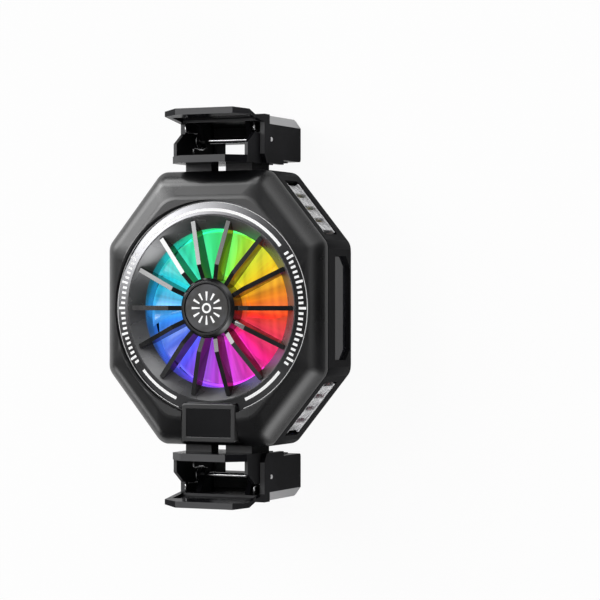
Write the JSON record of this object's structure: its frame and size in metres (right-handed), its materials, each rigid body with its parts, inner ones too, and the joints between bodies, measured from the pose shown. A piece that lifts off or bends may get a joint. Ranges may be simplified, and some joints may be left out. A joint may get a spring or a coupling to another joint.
{
  "type": "phone cooling fan",
  "caption": "Clip-on phone cooler: octagonal housing with a rainbow-lit fan behind fixed vanes, louvred side vents, a round cold plate and a sprung clip above and below.",
  "frame": {"origin": "on the fan's axis, in the plane that the claw tips stand on when the cooler lies on its back", "axes": "+Z along the fan's axis, out of the front; +Y towards the upper clip; +X towards the light window"},
  "size_m": [0.0574, 0.0938, 0.031],
  "materials": {
    "housing_gloss": "glossy black",
    "housing_satin": "satin black",
    "funnel_satin": "satin dark grey",
    "ring_metal": "dark speckled metal paint with white marks",
    "vane_gloss": "glossy black",
    "hub_metal": "dark grey brushed",
    "dark_lens": "dark gloss",
    "module_plastic": "matt black",
    "screw_steel": "dark steel",
    "plate_aluminium": "satin anodised",
    "ceramic_white": "matt",
    "foam": "matt foam",
    "fin_aluminium": "bare, extruded",
    "board": "green solder mask",
    "led_lens": "white",
    "light_guide": "translucent white, lit in rainbow colours",
    "socket_steel": "bright",
    "sleeve_brass": "sintered bronze",
    "stator_iron": "lacquered steel and copper",
    "magnet": "dull grey",
    "pin_steel": "ground bright",
    "fan_translucent": "translucent white",
    "smoked_window": "smoked gloss",
    "louvre_chrome": "satin chrome plated",
    "clip_gloss": "glossy black",
    "pad_rubber": "matt black",
    "spring_steel": "spring steel"
  },
  "bodies": {
    "housing": {"front_cover": "housing_gloss", "body_shell": "housing_satin", "air_funnel": "funnel_satin", "marking_ring": "ring_metal", "grille": "vane_gloss", "hub_disc": "hub_metal", "display_frame": "housing_gloss", "display_lens": "dark_lens", "display_module": "module_plastic", "rear_ring": "housing_gloss", "rear_ring_screws": "screw_steel", "cold_plate": "plate_aluminium", "peltier_module": "ceramic_white", "foam_gasket": "foam", "heatsink": "fin_aluminium", "heatsink_screws": "screw_steel", "led_board": "board", "leds": "led_lens", "light_guide": "light_guide", "control_board": "board", "inlet_shell": "socket_steel", "inlet_tongue": "module_plastic", "motor_base": "module_plastic", "bearing_sleeve": "sleeve_brass", "stator": "stator_iron", "side_window": "smoked_window", "clip_screws": "screw_steel", "vent_louvre_upper_right": "louvre_chrome", "vent_louvre_lower_right": "louvre_chrome", "vent_louvre_upper_left": "louvre_chrome", "vent_louvre_lower_left": "louvre_chrome", "upper_clip_base": "clip_gloss", "upper_hinge_pin": "pin_steel", "upper_spring_right": "spring_steel", "upper_spring_left": "spring_steel", "lower_clip_base": "clip_gloss", "lower_hinge_pin": "pin_steel", "lower_spring_right": "spring_steel", "lower_spring_left": "spring_steel"},
    "fan": {"fan_rotor": "fan_translucent", "fan_shaft": "pin_steel", "rotor_magnet": "magnet"},
    "upper_jaw": {"upper_jaw": "clip_gloss", "upper_jaw_pad": "pad_rubber"},
    "lower_jaw": {"lower_jaw": "clip_gloss", "lower_jaw_pad": "pad_rubber"}
  },
  "joints": [
    {"name": "fan_spin", "type": "hinge", "parent": "housing", "child": "fan", "pos_m": [0, 0, 0.018], "axis": [0, 0, 1], "continuous": true},
    {"name": "upper_jaw_hinge", "type": "hinge", "parent": "housing", "child": "upper_jaw", "pos_m": [0, 0.04, 0.0165], "axis": [1, 0, 0], "range_deg": [0, 24], "stiffness_Nm_per_rad": 0.11, "springref_deg": -20.05, "deforming": ["upper_spring_right", "upper_spring_left"]},
    {"name": "lower_jaw_hinge", "type": "hinge", "parent": "housing", "child": "lower_jaw", "pos_m": [0, -0.04, 0.0165], "axis": [-1, 0, 0], "range_deg": [0, 24], "stiffness_Nm_per_rad": 0.11, "springref_deg": -20.05, "deforming": ["lower_spring_right", "lower_spring_left"]}
  ]
}
